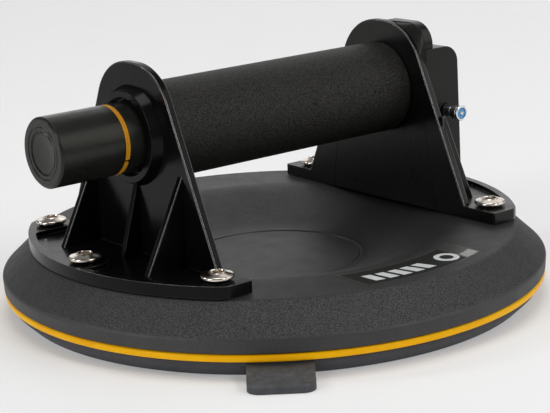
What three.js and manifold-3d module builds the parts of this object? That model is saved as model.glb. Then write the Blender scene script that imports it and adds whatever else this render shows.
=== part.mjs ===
// Hand-pump vacuum cup, 200 mm: a rubber-faced disc with a pump built into its grip.
//
// Millimetres, +Z up. The origin is the centre of the cup on the plane that it seals against.
// The grip lies along X: the thumb plunger comes out at -X, and the valve housing is at +X.

import * as THREE from 'three';
import { mergeVertices } from 'three/addons/utils/BufferGeometryUtils.js';
import Module from 'manifold-3d';

const wasm = await Module();
wasm.setup();

// ---------------------------------------------------------------- driving dimensions

const gap = 0.3; // clearance kept between neighbouring pieces
const roundSegments = 48; // facets round the disc

// disc
const discRadius = 100;
const rimBottom = 9.15;
const rimTop = 14.4;
const crestRadius = 89;
const crestHeight = 23.9;
const flatInnerRadius = 68; // where the flat annulus starts to sink into the dish
const dishRadius = 33;
const dishHeight = 13.3;
const discWall = 3;

// rubber pad and accent ring
const sealOuterRadius = 93.3;
const sealInnerRadius = 86.5;
const padFlankRadius = 97.9;
const padTop = 5.95;
const padMembraneTop = dishHeight - discWall - gap;
const padMembrane = 3;
const ringRadius = 99.6;
const ringInner = 96.6;
const ringBottom = 6.25;
const ringTop = 8.85;
const tabAngle = THREE.MathUtils.degToRad(-128);
const tabReach = 111.5;
const tabWidth = 22;
const tabThickness = 2.8;

// label
const labelInner = 68.3;
const labelOuter = 83.4;
const labelLeft = -24.5;
const labelRight = 26.1;
const labelThickness = 0.35;

// brackets
const baseBottom = crestHeight + gap;
const baseTop = 28.45;
const baseRadius = 89.6;
const baseHalfWidth = 59.5;
const baseCorner = 3;
const lipRadius = 86.9;
const pocketDepth = 1.7;
const pocketHalfWidth = 44.7;
const bossRadius = 8;
const collarFootRadius = 17.3;
const earThickness = 3;
const earTopRadius = 23.45;
const earTopHeight = 70.42; // height of the centre of the ear's round top
const earHalfWidth = 44.2; // at the top of the base plate
const pumpEarInner = 56.2;
const valveEarInner = 55.6;
const ribThickness = 2.5;
const pumpRibs = [
  { y: -26, footX: 75, top: 58.2 },
  { y: 0, footX: 67, top: 53.5 },
  { y: 26, footX: 75, top: 58.2 },
];
const valveRibs = [
  { y: -31, footX: 72.2, top: 60.4 },
  { y: 31, footX: 72.2, top: 60.4 },
];

// bolts
const boltCircleRadius = { pump: 81.7, valve: 80.5 }; // front and rear bolts
const boltAngle = THREE.MathUtils.degToRad(38.4);
const boltMiddleRadius = 82;
const boltHeadRadius = 5.3;
const boltHeadHeight = 3.1;
const boltShankRadius = 2.7;
const boltHoleRadius = 3;
const boltSocketSize = 4; // across flats
const nutSize = 9; // across flats

// pump
const pumpHeight = 68.47; // height of the grip's axis
const gripRadius = 17.17;
const gripBore = 15.2;
const barrelRadius = 14.9;
const barrelBore = 13.6;
const plungerRadius = 12.15;
const plungerEnd = -95.66;
const plungerBore = 9.8;
const collarFront = -62.97;
const collarRadius = 16.2;
const collarBore = 13.3;
const bushBore = 12.35;
const bandFrom = -70.44;
const bandTo = -68.71;
const strokeLength = 29;
const pistonRadius = 13.2;
const pistonFront = 20.5;
const pistonRear = -8;
const pocketBore = 10.3;
const pocketEnd = -3.5;
const plugFace = 50.5;
const springRadius = 8.9;
const springWire = 0.6;
const springTurns = 10;

// valve housing
const housingFront = -23.4;
const housingRear = 18;
const housingTop = 84.2;
const housingEnd = 75.6; // at the base plate
const housingEndTop = 74.1; // at the top, drawn in for mould release
const housingCorner = 6.5;
const blockEnd = 63.2;
const blockFront = -21.4;
const blockRear = 6;
const blockTop = 93.6;
const blockCorner = 8.5;
const chamberEnd = 72.2;
const chamberFront = -18;
const chamberRear = 12.6;
const chamberBottom = 31;
const chamberTop = 80.5;
const windowTop = 46; // of the core opening behind the cover
const coverThickness = 1.6;
const coverTop = 68.3;
const coverTopHalfWidth = 21.8;
const coverBottomHalfWidth = 29.6;
const coverCorner = 4;
const airwayX = 69;
const airwayHole = 3.4;

// release valve, on the housing's -Y wall
const valveX = 68.5;
const valveZ = 59.7;
const valveHeadRadius = 2.7;
const valveHeadEnd = 7.2;
const valveBodyInner = -6;
const releaseTravel = 1.6;

// ---------------------------------------------------------------- materials

function material(color, roughness, metalness) {
  return new THREE.MeshStandardMaterial({ color, roughness, metalness });
}

const finish = {
  grainedPlastic: () => material(0x26282b, 0.75, 0),
  glossPlastic: () => material(0x101113, 0.25, 0),
  gripPlastic: () => material(0x1d1e1f, 0.8, 0),
  rubber: () => material(0x1b1b1c, 0.85, 0),
  amber: () => material(0xe69b12, 0.4, 0),
  nickel: () => material(0xc9c2b8, 0.2, 1),
  steel: () => material(0x9a9c9e, 0.3, 1),
  labelFilm: () => material(0x3a3b39, 0.4, 0),
  blue: () => material(0x3f8fd0, 0.4, 0),
  whitePlastic: () => material(0xd8d6cf, 0.5, 0),
};

// ---------------------------------------------------------------- geometry helpers

function toSolid(geometry) {
  const bare = geometry.clone();
  bare.deleteAttribute('normal');
  bare.deleteAttribute('uv');
  const merged = mergeVertices(bare, 1e-4);
  return new wasm.Manifold(
    new wasm.Mesh({
      numProp: 3,
      vertProperties: merged.attributes.position.array,
      triVerts: new Uint32Array(merged.index.array),
    }),
  );
}

function toGeometry(solid) {
  const mesh = solid.getMesh();
  const geometry = new THREE.BufferGeometry();
  geometry.setAttribute('position', new THREE.BufferAttribute(mesh.vertProperties, 3));
  geometry.setIndex(new THREE.BufferAttribute(mesh.triVerts, 1));
  geometry.computeVertexNormals();
  return geometry;
}

function joined(first, ...others) {
  return others.reduce((solid, other) => solid.add(other), first);
}

function cut(first, ...tools) {
  return tools.reduce((solid, tool) => solid.subtract(tool), first);
}

function piece(name, shape, look) {
  const geometry = shape.isBufferGeometry ? shape : toGeometry(shape);
  const mesh = new THREE.Mesh(geometry, look());
  mesh.name = name;
  return mesh;
}

// A solid of revolution about Z from [radius, height] points, anticlockwise in the (r, z) plane.
function turned(points, segments = 32) {
  const profile = points.map(([r, z]) => new THREE.Vector2(r, z));
  return new THREE.LatheGeometry(profile, segments).rotateX(Math.PI / 2);
}

// The same for a ring: the profile is closed on itself.
function ring(points, segments = 32) {
  return turned([...points, points[0]], segments);
}

function tube(innerRadius, outerRadius, from, to, segments = 32) {
  return ring([[innerRadius, from], [outerRadius, from], [outerRadius, to], [innerRadius, to]], segments);
}

function rod(radius, from, to, segments = 32) {
  return turned([[0, from], [radius, from], [radius, to], [0, to]], segments);
}

function roundSeal(radius, sectionRadius, z, segments = 24) {
  return new THREE.TorusGeometry(radius, sectionRadius, 8, segments).translate(0, 0, z);
}

function extruded(shape, depth, curveSegments) {
  return new THREE.ExtrudeGeometry(shape, { depth, bevelEnabled: false, curveSegments });
}

function along(geometry, xAxis, yAxis, zAxis, origin) {
  const basis = new THREE.Matrix4().makeBasis(xAxis, yAxis, zAxis).setPosition(origin);
  return geometry.applyMatrix4(basis);
}

const X = new THREE.Vector3(1, 0, 0);
const Y = new THREE.Vector3(0, 1, 0);
const Z = new THREE.Vector3(0, 0, 1);

// A plan outline (x, y) raised from one height to another.
function plate(shape, bottom, top, curveSegments = 24) {
  return extruded(shape, top - bottom, curveSegments).translate(0, 0, bottom);
}

// A (y, z) outline run along X.
function alongX(shape, from, to, curveSegments = 24) {
  return along(extruded(shape, to - from, curveSegments), Y, Z, X, new THREE.Vector3(from, 0, 0));
}

// An (x, z) outline run along Y, centred on y.
function alongY(shape, y, thickness, curveSegments = 8) {
  const origin = new THREE.Vector3(0, y + thickness / 2, 0);
  return along(extruded(shape, thickness, curveSegments), X, Z, Y.clone().negate(), origin);
}

function polygon(points) {
  return new THREE.Shape(points.map(([a, b]) => new THREE.Vector2(a, b)));
}

function boxBetween(low, high) {
  const size = high.map((value, axis) => value - low[axis]);
  const centre = high.map((value, axis) => (value + low[axis]) / 2);
  return new THREE.BoxGeometry(...size).translate(...centre);
}

function hexagonPrism(acrossFlats, from, to) {
  return rod(acrossFlats / 2 / Math.cos(Math.PI / 6), from, to, 6);
}

// A cylinder along X through a point, as a cutting tool.
function boreAlongX(radius, from, to, segments = 32) {
  return rod(radius, from, to, segments).rotateY(Math.PI / 2).translate(0, 0, pumpHeight);
}

class Helix extends THREE.Curve {
  constructor(radius, from, to, turns) {
    super();
    Object.assign(this, { radius, from, to, turns });
  }

  getPoint(t, target = new THREE.Vector3()) {
    const angle = t * this.turns * 2 * Math.PI;
    const height = this.from + (this.to - this.from) * t;
    return target.set(this.radius * Math.cos(angle), this.radius * Math.sin(angle), height);
  }
}

function coilSpring(radius, wireRadius, from, to, turns, stepsPerTurn) {
  const section = new THREE.Shape();
  section.absarc(0, 0, wireRadius, 0, 2 * Math.PI);
  return new THREE.ExtrudeGeometry(section, {
    extrudePath: new Helix(radius, from + wireRadius, to - wireRadius, turns),
    steps: turns * stepsPerTurn,
    curveSegments: 3,
    bevelEnabled: false,
  });
}

// Height of the disc's upper face between the centre and the flat annulus: an even S curve.
function dishSurface(radius) {
  const share = (radius - dishRadius) / (flatInnerRadius - dishRadius);
  return dishHeight + ((crestHeight - dishHeight) * (1 - Math.cos(Math.PI * share))) / 2;
}

function dishProfile(drop, steps) {
  return Array.from({ length: steps + 1 }, (_, i) => {
    const radius = dishRadius + ((flatInnerRadius - dishRadius) * i) / steps;
    return [radius, dishSurface(radius) - drop];
  });
}

// ---------------------------------------------------------------- disc

// Bolt centres for a bracket built towards +X.
function boltPlaces(bracket) {
  const across = boltCircleRadius[bracket] * Math.cos(boltAngle);
  const along = boltCircleRadius[bracket] * Math.sin(boltAngle);
  return { front: [across, -along], middle: [boltMiddleRadius, 0], rear: [across, along] };
}

function boltHoles(bracket, side) {
  return Object.values(boltPlaces(bracket)).map(([x, y]) =>
    toSolid(rod(boltHoleRadius, 0, 40, 16).translate(side * x, y, 0)),
  );
}

function backingDisc() {
  const shell = toSolid(
    turned(
      [
        [0, dishHeight - discWall],
        ...dishProfile(discWall, 4),
        [86.8, crestHeight - discWall],
        [96.2, 12.6],
        [96.2, rimBottom],
        [discRadius - 0.2, rimBottom],
        [discRadius, rimTop - 0.9],
        [discRadius - 0.7, rimTop + 0.5],
        [crestRadius + 1.2, crestHeight - 0.6],
        [crestRadius - 0.6, crestHeight],
        ...dishProfile(0, 5).reverse(),
        [0, dishHeight],
      ],
      roundSegments,
    ),
  );
  const airway = toSolid(rod(airwayHole, 0, 40, 24).translate(airwayX, 0, 0));
  const sealSeat = toSolid(rod(6.3, crestHeight - 1.2, 40, 24).translate(airwayX, 0, 0));
  const holes = [...boltHoles('valve', 1), ...boltHoles('pump', -1)];
  return piece('backing_disc', cut(shell, airway, sealSeat, ...holes), finish.grainedPlastic);
}

function accentRing() {
  const section = [
    [ringInner, ringBottom],
    [ringRadius - 0.8, ringBottom],
    [ringRadius, ringBottom + 0.8],
    [ringRadius, ringTop - 0.8],
    [ringRadius - 0.8, ringTop],
    [ringInner, ringTop],
  ];
  return piece('accent_ring', ring(section, roundSegments), finish.amber);
}

// The tab that is pulled to break the seal.
function pullTab() {
  const half = tabWidth / 2;
  const corner = 3;
  const shape = new THREE.Shape();
  shape.moveTo(90, -half);
  shape.lineTo(tabReach - corner, -half);
  shape.absarc(tabReach - corner, -half + corner, corner, -Math.PI / 2, 0);
  shape.absarc(tabReach - corner, half - corner, corner, 0, Math.PI / 2);
  shape.lineTo(90, half);
  return plate(shape, 0, tabThickness, 4).rotateZ(tabAngle);
}

function sealingPad() {
  const membraneBottom = padMembraneTop - padMembrane;
  const disc = toSolid(
    turned(
      [
        [0, membraneBottom],
        [76, membraneBottom],
        [83, 4],
        [sealInnerRadius, 0],
        [sealOuterRadius, 0],
        [padFlankRadius, padTop],
        [ringInner - gap, padTop],
        [ringInner - gap, ringTop],
        [92.5, padMembraneTop],
        [0, padMembraneTop],
      ],
      roundSegments,
    ),
  );
  const airway = toSolid(rod(airwayHole, 0, 40, 24).translate(airwayX, 0, 0));
  return piece('sealing_pad', cut(disc.add(toSolid(pullTab())), airway), finish.rubber);
}

// A curved strip on the annulus, concentric with the disc, with its ends cut parallel to Y.
function blankLabel() {
  const angleAt = (x, radius) => -Math.acos(x / radius);
  const shape = new THREE.Shape();
  shape.absarc(0, 0, labelOuter, angleAt(labelLeft, labelOuter), angleAt(labelRight, labelOuter), false);
  shape.absarc(0, 0, labelInner, angleAt(labelRight, labelInner), angleAt(labelLeft, labelInner), true);
  const bottom = crestHeight + gap;
  return piece('blank_label', plate(shape, bottom, bottom + labelThickness, 10), finish.labelFilm);
}

// ---------------------------------------------------------------- brackets

// The base plate in plan: a segment of a circle, cut off square at both ends.
function baseOutline(innerFace) {
  const cornerX = Math.sqrt((baseRadius - baseCorner) ** 2 - (baseHalfWidth - baseCorner) ** 2);
  const cornerY = baseHalfWidth - baseCorner;
  const turn = Math.atan2(cornerY, cornerX);
  const shape = new THREE.Shape();
  shape.moveTo(innerFace, -baseHalfWidth);
  shape.lineTo(cornerX, -baseHalfWidth);
  shape.absarc(cornerX, -cornerY, baseCorner, -Math.PI / 2, -turn);
  shape.absarc(0, 0, baseRadius, -turn, turn);
  shape.absarc(cornerX, cornerY, baseCorner, turn, Math.PI / 2);
  shape.lineTo(innerFace, baseHalfWidth);
  return shape;
}

function pocketOutline(outerFace) {
  const turn = Math.asin(pocketHalfWidth / lipRadius);
  const shape = new THREE.Shape();
  shape.moveTo(outerFace, -pocketHalfWidth);
  shape.lineTo(lipRadius * Math.cos(turn), -pocketHalfWidth);
  shape.absarc(0, 0, lipRadius, -turn, turn);
  shape.lineTo(outerFace, pocketHalfWidth);
  return shape;
}

// The ear from the front: a round top on straight flanks that touch it.
function earOutline() {
  const drop = earTopHeight - baseTop;
  const reach = Math.hypot(earHalfWidth, drop);
  const flank = Math.acos(earTopRadius / reach) - Math.atan2(drop, earHalfWidth);
  const shape = new THREE.Shape();
  shape.moveTo(-earHalfWidth, baseBottom);
  shape.lineTo(earHalfWidth, baseBottom);
  shape.lineTo(earHalfWidth, baseTop);
  shape.absarc(0, earTopHeight, earTopRadius, flank, Math.PI - flank);
  shape.lineTo(-earHalfWidth, baseTop);
  return shape;
}

function rib({ y, footX, top }, outerFace) {
  const outline = polygon([
    [outerFace - 1, baseBottom + 1],
    [footX, baseBottom + 1],
    [footX, baseTop - pocketDepth],
    [outerFace, top],
    [outerFace - 1, top],
  ]);
  return toSolid(alongY(outline, y, ribThickness));
}

// Base plate, ear and ribs, built towards +X.
function bracketFrame(innerFace, ribs) {
  const outerFace = innerFace + earThickness;
  const base = toSolid(plate(baseOutline(innerFace), baseBottom, baseTop, 14));
  const pocket = toSolid(plate(pocketOutline(outerFace), baseTop - pocketDepth, baseTop + 1, 16));
  const boss = toSolid(rod(bossRadius, 0, 40, 32).translate(boltMiddleRadius, 0, 0));
  const ear = toSolid(alongX(earOutline(), innerFace, outerFace, 20));
  const webs = ribs.map((web) => rib(web, outerFace));
  return joined(base.subtract(pocket.subtract(boss)), ear, ...webs);
}

function pumpBracket() {
  const outerFace = pumpEarInner + earThickness;
  const frame = bracketFrame(pumpEarInner, pumpRibs);
  const collar = toSolid(
    turned([
      [0, outerFace - 1],
      [collarFootRadius, outerFace - 1],
      [collarFootRadius, outerFace],
      [collarRadius, -collarFront],
      [0, -collarFront],
    ])
      .rotateY(Math.PI / 2)
      .translate(0, 0, pumpHeight),
  );
  const bore = toSolid(boreAlongX(collarBore, 50, 80));
  const bushSeat = toSolid(boreAlongX(15, 50, 60.5));
  const solid = cut(frame.add(collar), bore, bushSeat, ...boltHoles('pump', 1));
  return piece('pump_bracket', toGeometry(solid).rotateZ(Math.PI), finish.glossPlastic);
}

function housingBlock() {
  const outline = new THREE.Shape();
  const inside = valveEarInner + 1;
  outline.moveTo(inside, baseBottom + 1);
  outline.lineTo(housingEnd, baseBottom + 1);
  outline.lineTo(housingEndTop, housingTop - housingCorner);
  outline.absarc(housingEndTop - housingCorner, housingTop - housingCorner, housingCorner, 0, Math.PI / 2);
  outline.lineTo(inside, housingTop);
  return toSolid(alongY(outline, (housingFront + housingRear) / 2, housingRear - housingFront, 6));
}

// The raised block over the front half of the housing, which meets the ear's round top.
function topBlock() {
  const outline = new THREE.Shape();
  outline.moveTo(blockFront, housingTop - 2);
  outline.lineTo(blockRear, housingTop - 2);
  outline.absarc(blockRear - blockCorner, blockTop - blockCorner, blockCorner, 0, Math.PI / 2);
  outline.absarc(blockFront + blockCorner, blockTop - blockCorner, blockCorner, Math.PI / 2, Math.PI);
  return toSolid(alongX(outline, valveEarInner + 1, blockEnd, 8));
}

// The channel cover from inside: tapered, with rounded upper corners. clearance grows it all round.
function coverOutline(clearance) {
  const top = coverTop + clearance;
  const half = coverTopHalfWidth + clearance;
  const side = half - coverCorner;
  const outline = new THREE.Shape();
  outline.moveTo(-coverBottomHalfWidth - clearance, baseBottom - clearance);
  outline.lineTo(coverBottomHalfWidth + clearance, baseBottom - clearance);
  outline.absarc(side, top - coverCorner, coverCorner, 0, Math.PI / 2);
  outline.absarc(-side, top - coverCorner, coverCorner, Math.PI / 2, Math.PI);
  return outline;
}

function coverSolid(clearance) {
  const seatRadius = gripRadius + 0.7 - clearance;
  const from = valveEarInner - clearance;
  const to = valveEarInner + coverThickness + clearance;
  const sheet = toSolid(alongX(coverOutline(clearance), from, to, 6));
  return sheet.subtract(toSolid(boreAlongX(seatRadius, 50, 60)));
}

function valveBracket() {
  const frame = bracketFrame(valveEarInner, valveRibs);
  const solid = joined(frame, housingBlock(), topBlock());
  const ear = valveEarInner + earThickness;
  const chamber = toSolid(
    boxBetween([ear, chamberFront, chamberBottom], [chamberEnd, chamberRear, chamberTop]),
  );
  const window = toSolid(
    boxBetween([50, chamberFront + 1, chamberBottom], [ear + 1, chamberRear - 1, windowTop]),
  );
  const spigotBore = toSolid(boreAlongX(5.6, 50, 62, 32));
  const airway = toSolid(rod(airwayHole, 0, 32, 24).translate(airwayX, 0, 0));
  const valveHole = toSolid(
    rod(2.6, -7, 3, 24)
      .rotateX(Math.PI / 2)
      .translate(valveX, housingFront, valveZ),
  );
  const openings = [chamber, window, coverSolid(gap), spigotBore, airway, valveHole];
  const hollow = cut(solid, ...openings, ...boltHoles('valve', 1));
  return piece('valve_bracket', hollow, finish.glossPlastic);
}

function channelCover() {
  return piece('channel_cover', coverSolid(0), finish.glossPlastic);
}

// ---------------------------------------------------------------- fasteners

function bolt(name) {
  const neck = baseTop + 0.15;
  const top = neck + boltHeadHeight;
  const solid = turned(
    [
      [0, 14.5],
      [boltShankRadius, 14.5],
      [boltShankRadius, neck],
      [boltHeadRadius - 0.9, neck],
      [boltHeadRadius, neck + 1],
      [boltHeadRadius - 0.4, neck + 2],
      [boltHeadRadius - 2, top],
      [0, top],
    ],
    16,
  );
  const socket = hexagonPrism(boltSocketSize, top - 1.8, top + 1);
  return piece(name, cut(toSolid(solid), toSolid(socket)), finish.nickel);
}

function nut(name) {
  const top = crestHeight - discWall - gap;
  const body = hexagonPrism(nutSize, top - 4, top);
  return piece(name, cut(toSolid(body), toSolid(rod(boltShankRadius + gap, 0, 40, 16))), finish.steel);
}

function fasteners() {
  const group = new THREE.Group();
  for (const [side, bracket] of [[-1, 'pump'], [1, 'valve']]) {
    for (const [place, [x, y]] of Object.entries(boltPlaces(bracket))) {
      for (const made of [bolt(`${bracket}_bolt_${place}`), nut(`${bracket}_nut_${place}`)]) {
        made.position.set(side * x, y, 0);
        group.add(made);
      }
    }
  }
  return group;
}

// ---------------------------------------------------------------- airway down through the disc

function airNipple() {
  const flangeBottom = padMembraneTop - padMembrane - gap - 1.2;
  const body = ring(
    [
      [1.8, flangeBottom],
      [6, flangeBottom],
      [6, flangeBottom + 1.2],
      [airwayHole - gap, flangeBottom + 1.2],
      [airwayHole - gap, chamberBottom + 1],
      [1.8, chamberBottom + 1],
    ],
    24,
  );
  return piece('air_nipple', body, finish.steel);
}

function intakeScreen() {
  const top = padMembraneTop - padMembrane - gap - 1.2 - gap;
  const sheet = toSolid(rod(5.2, top - 0.5, top, 24));
  const hole = (x, y) => toSolid(rod(0.7, 0, 20, 8).translate(x, y, 0));
  const holes = Array.from({ length: 6 }, (_, i) => {
    const angle = (i * Math.PI) / 3;
    return hole(2.6 * Math.cos(angle), 2.6 * Math.sin(angle));
  });
  return cut(sheet, hole(0, 0), ...holes);
}

function airwayGroup() {
  const group = new THREE.Group();
  group.position.set(airwayX, 0, 0);
  group.add(airNipple());
  group.add(piece('airway_oring', roundSeal(4.75, 0.6, crestHeight - 0.45), finish.rubber));
  group.add(piece('intake_screen', intakeScreen(), finish.steel));
  return group;
}

// ---------------------------------------------------------------- pump, drawn along its own Z

function gripSleeve() {
  const sleeve = tube(gripBore, gripRadius, -pumpEarInner + gap, valveEarInner - gap, 40);
  return piece('grip_sleeve', sleeve, finish.gripPlastic);
}

function pumpBarrel() {
  const barrel = tube(barrelBore, barrelRadius, -pumpEarInner + gap, valveEarInner - gap);
  return piece('pump_barrel', barrel, finish.whitePlastic);
}

function guideBush() {
  return piece('guide_bush', tube(bushBore, 14.7, -60.2, -pumpEarInner), finish.whitePlastic);
}

function plunger() {
  const groove = 11;
  const flange = -pumpEarInner + gap;
  const body = turned([
    [0, plungerEnd + 0.4],
    [7, plungerEnd + 0.4],
    [7.5, plungerEnd],
    [plungerRadius - 0.8, plungerEnd],
    [plungerRadius, plungerEnd + 0.8],
    [plungerRadius, bandFrom - gap],
    [groove, bandFrom - gap],
    [groove, bandTo + gap],
    [plungerRadius, bandTo + gap],
    [plungerRadius, flange],
    [pistonRadius, flange],
    [pistonRadius, flange + 2.5],
    [plungerRadius, flange + 2.5],
    [plungerRadius, pistonRear - gap],
    [plungerBore, pistonRear - gap],
    [plungerBore, plungerEnd + 4.2],
    [0, plungerEnd + 4.2],
  ]);
  return piece('plunger', body, finish.glossPlastic);
}

function indicatorBand() {
  return piece('indicator_band', tube(11.3, plungerRadius, bandFrom, bandTo), finish.amber);
}

function pistonHead() {
  const spigot = plungerBore - gap;
  const sealSeat = 11.9;
  const body = ring(
    [
      [2, -15],
      [spigot, -15],
      [spigot, pistonRear],
      [pistonRadius, pistonRear],
      [pistonRadius, 14.5],
      [sealSeat, 14.5],
      [sealSeat, 18],
      [pistonRadius, 18],
      [pistonRadius, pistonFront],
      [pocketBore, pistonFront],
      [pocketBore, pocketEnd],
      [2, pocketEnd],
    ],
  );
  return piece('piston_head', body, finish.whitePlastic);
}

function pistonSeal() {
  return piece('piston_seal', tube(12.2, barrelBore - 0.1, 14.8, 17.7), finish.rubber);
}

// A ring with a bar across it, which holds a valve disc near its seat.
function valveCage(innerRadius, outerRadius, seatSide, barSide) {
  const low = Math.min(seatSide, barSide);
  const high = Math.max(seatSide, barSide);
  const barHigh = low === barSide ? low + 1 : high;
  const ringSolid = toSolid(tube(innerRadius, outerRadius, low, high, 32));
  const reach = innerRadius + 0.5;
  const bar = toSolid(boxBetween([-reach, -1.5, barHigh - 1], [reach, 1.5, barHigh]));
  return ringSolid.add(bar);
}

function barrelPlug() {
  const sealSeat = 12.1;
  const body = ring(
    [
      [2, plugFace],
      [barrelBore - gap, plugFace],
      [barrelBore - gap, 51.6],
      [sealSeat, 51.6],
      [sealSeat, 53.9],
      [barrelBore - gap, 53.9],
      [barrelBore - gap, 55],
      [5.3, 55],
      [5.3, 60.5],
      [2, 60.5],
    ],
  );
  return piece('barrel_plug', body, finish.whitePlastic);
}

function pumpGroup() {
  const group = new THREE.Group();
  group.position.set(0, 0, pumpHeight);
  group.rotation.y = Math.PI / 2;
  group.add(gripSleeve(), pumpBarrel(), guideBush());
  group.add(plunger(), indicatorBand(), pistonHead(), pistonSeal());
  group.add(piece('exhaust_valve_disc', rod(5, -16.5, -15.3, 24), finish.rubber));
  group.add(piece('exhaust_valve_cage', valveCage(6, plungerBore - gap, -15.3, -19), finish.whitePlastic));
  group.add(barrelPlug());
  group.add(piece('plug_oring', roundSeal(12.85, 0.6, 52.75), finish.rubber));
  group.add(piece('inlet_valve_disc', rod(5, 49, 50.2, 24), finish.rubber));
  group.add(piece('inlet_valve_cage', valveCage(6, 7.4, 50.2, 46.4), finish.whitePlastic));
  const spring = coilSpring(springRadius, springWire, pocketEnd + gap, plugFace - gap, springTurns, 9);
  group.add(piece('return_spring', spring, finish.steel));
  return group;
}

// ---------------------------------------------------------------- release valve, drawn along its own Z

function valveBody() {
  const body = ring(
    [
      [1, valveBodyInner],
      [2.3, valveBodyInner],
      [2.3, 0.4],
      [2.05, 0.4],
      [2.05, 4.4],
      [valveHeadRadius, 4.6],
      [valveHeadRadius, valveHeadEnd],
      [1.75, valveHeadEnd],
      [1.75, -2],
      [1, -2],
    ],
    24,
  );
  return piece('release_valve_body', body, finish.nickel);
}

function releasePin() {
  const pin = turned(
    [
      [0, valveBodyInner - 1.5],
      [1.9, valveBodyInner - 1.5],
      [1.9, valveBodyInner - gap],
      [0.6, valveBodyInner - gap],
      [0.6, 3.3],
      [1.45, 3.3],
      [1.45, 4],
      [0.6, 4],
      [0.6, valveHeadEnd + 0.2],
      [0, valveHeadEnd + 0.2],
    ],
    16,
  );
  return piece('release_pin', pin, finish.nickel);
}

function releaseValve() {
  const group = new THREE.Group();
  group.position.set(valveX, housingFront, valveZ);
  group.rotation.x = Math.PI / 2;
  group.add(valveBody(), releasePin());
  group.add(piece('release_valve_insert', tube(0.9, 1.45, 4 + gap, valveHeadEnd - 0.4, 24), finish.blue));
  group.add(piece('release_spring', coilSpring(1.2, 0.17, -1.7, 3, 5, 8), finish.steel));
  return group;
}

// ---------------------------------------------------------------- assembly

const vacuumCup = new THREE.Group();
vacuumCup.add(sealingPad(), accentRing(), backingDisc(), blankLabel());
vacuumCup.add(pumpBracket(), valveBracket(), channelCover());
vacuumCup.add(fasteners(), airwayGroup(), pumpGroup(), releaseValve());

export default vacuumCup;
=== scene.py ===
"""The looks of a hand-pump vacuum cup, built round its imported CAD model.

Sizes are in millimetres, and MM turns them into Blender's metres. +Z is up, the grip lies along X,
the thumb plunger comes out at -X, the valve housing is at +X, and z = 0 is the plane of the seal.
"""

import math

import bmesh
import bpy
from mathutils import Matrix, Vector


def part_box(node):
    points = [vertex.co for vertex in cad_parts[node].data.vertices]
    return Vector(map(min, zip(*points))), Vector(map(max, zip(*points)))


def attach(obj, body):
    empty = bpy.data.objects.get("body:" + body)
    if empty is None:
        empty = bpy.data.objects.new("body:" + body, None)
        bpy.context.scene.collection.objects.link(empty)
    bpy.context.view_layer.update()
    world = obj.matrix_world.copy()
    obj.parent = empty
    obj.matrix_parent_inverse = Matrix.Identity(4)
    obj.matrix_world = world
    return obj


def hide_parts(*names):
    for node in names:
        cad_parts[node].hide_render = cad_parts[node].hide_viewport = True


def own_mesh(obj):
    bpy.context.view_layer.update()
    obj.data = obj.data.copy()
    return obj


MM = 0.001

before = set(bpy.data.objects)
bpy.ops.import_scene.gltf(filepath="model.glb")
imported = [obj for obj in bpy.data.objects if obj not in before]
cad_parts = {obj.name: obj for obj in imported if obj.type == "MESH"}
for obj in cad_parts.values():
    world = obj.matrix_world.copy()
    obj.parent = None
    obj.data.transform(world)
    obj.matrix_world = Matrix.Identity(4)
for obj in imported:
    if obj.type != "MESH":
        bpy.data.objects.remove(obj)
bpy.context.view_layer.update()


def span(node):
    """A CAD node's lowest and highest corners, in millimetres."""
    low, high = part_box(node)
    return low / MM, high / MM


# -------------------- places taken from the CAD model

DISC_LOW, DISC_HIGH = span("backing_disc")
PAD_TOP = span("sealing_pad")[1].z
RING_LOW, RING_HIGH = span("accent_ring")
PUMP_LOW, PUMP_HIGH = span("pump_bracket")
VALVE_LOW, VALVE_HIGH = span("valve_bracket")
GRIP_LOW, GRIP_HIGH = span("grip_sleeve")
PLUNGER_LOW, PLUNGER_HIGH = span("plunger")
BAND_LOW, BAND_HIGH = span("indicator_band")
BUSH_LOW, BUSH_HIGH = span("guide_bush")
BARREL_LOW, BARREL_HIGH = span("pump_barrel")
SPRING_LOW, SPRING_HIGH = span("return_spring")
CLOSER_LOW, CLOSER_HIGH = span("release_spring")

AXIS_Z = (GRIP_LOW.z + GRIP_HIGH.z) / 2
GRIP_RADIUS = (GRIP_HIGH.z - GRIP_LOW.z) / 2
CREST_Z = DISC_HIGH.z
BASE_BOTTOM = PUMP_LOW.z
BASE_RADIUS = -PUMP_LOW.x
BASE_HALF_WIDTH = PUMP_HIGH.y
PUMP_EAR_INNER = -PUMP_HIGH.x
VALVE_EAR_INNER = VALVE_LOW.x
EAR_TOP = PUMP_HIGH.z
BLOCK_TOP = VALVE_HIGH.z
BAND_RADIUS = (BAND_HIGH.z - BAND_LOW.z) / 2

# -------------------- sizes of what the CAD model leaves plain

DISC_RADIUS = DISC_HIGH.x
DISC_WALL = 3
CREST_RADIUS = 89
FLAT_INNER_RADIUS = 68
DISH_RADIUS = 33
DISH_Z = 13.3
RIM_TOP = 14.4
BASE_TOP = 28.45
LIP_RADIUS = 86.9
POCKET_DEPTH = 1.7
POCKET_HALF_WIDTH = 44.7
BOSS_RADIUS = 8
EAR_THICKNESS = 3
EAR_RADIUS = 23.45
EAR_SHOULDER_RADIUS = 20
EAR_HALF_WIDTH = 44.2
RIB_THICKNESS = 2.5
PLUNGER_RADIUS = 12.15
BOLT_HEAD_RADIUS = 5.65
BOLT_HOLE = 3
AIRWAY_X = 69
HOUSING_FRONT = -23.4
HOUSING_FACE = -22.3
HOUSING_START = 2.9
HOUSING_REAR = 18
HOUSING_TOP = 84.2
HOUSING_END = 76.3
HOUSING_END_TOP = 74.9
HOUSING_CORNER = 6.5
BLOCK_END = 63.2
BLOCK_FRONT = -21.4
BLOCK_REAR = 6
BLOCK_CORNER = 8.5
VALVE_X = 68.5
VALVE_Z = 59.7
PUMP_RIBS = ((-26, 75, 58.2), (0, 67, 53.5), (26, 75, 58.2))
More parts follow.
